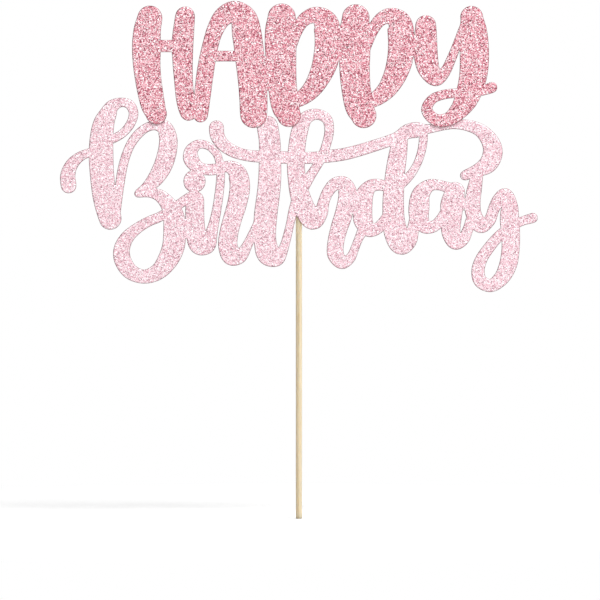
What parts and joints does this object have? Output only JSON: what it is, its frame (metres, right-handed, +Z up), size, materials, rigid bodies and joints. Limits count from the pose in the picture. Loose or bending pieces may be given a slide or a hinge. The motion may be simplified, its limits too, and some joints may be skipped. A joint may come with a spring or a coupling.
{
  "type": "glitter card cake topper",
  "caption": "Flat greeting topper of glitter card on a round wooden stick: capital letters glued over a joined script word.",
  "frame": {"origin": "centre of the stick's flat lower end", "axes": "+Z up along the stick, +X to the right as the words are read, the front with the lettering faces -Y"},
  "size_m": [0.1801, 0.0045, 0.1953],
  "materials": {
    "card_paper": "uncoated",
    "rose_glitter": "glitter coated",
    "pink_glitter": "glitter coated",
    "pale_wood": "bare, sanded",
    "hot_melt_glue": "translucent, satin"
  },
  "bodies": {
    "root": {"happy_paper_base": "card_paper", "happy_glitter_coat": "rose_glitter", "birthday_paper_base": "card_paper", "birthday_glitter_coat": "pink_glitter", "glue_dot_under_h": "hot_melt_glue", "glue_dot_under_a": "hot_melt_glue", "glue_dot_under_p": "hot_melt_glue", "glue_dot_under_y": "hot_melt_glue", "wooden_stick": "pale_wood", "glue_bead_top": "hot_melt_glue", "glue_bead_middle": "hot_melt_glue", "glue_bead_bottom": "hot_melt_glue"}
  },
  "joints": []
}
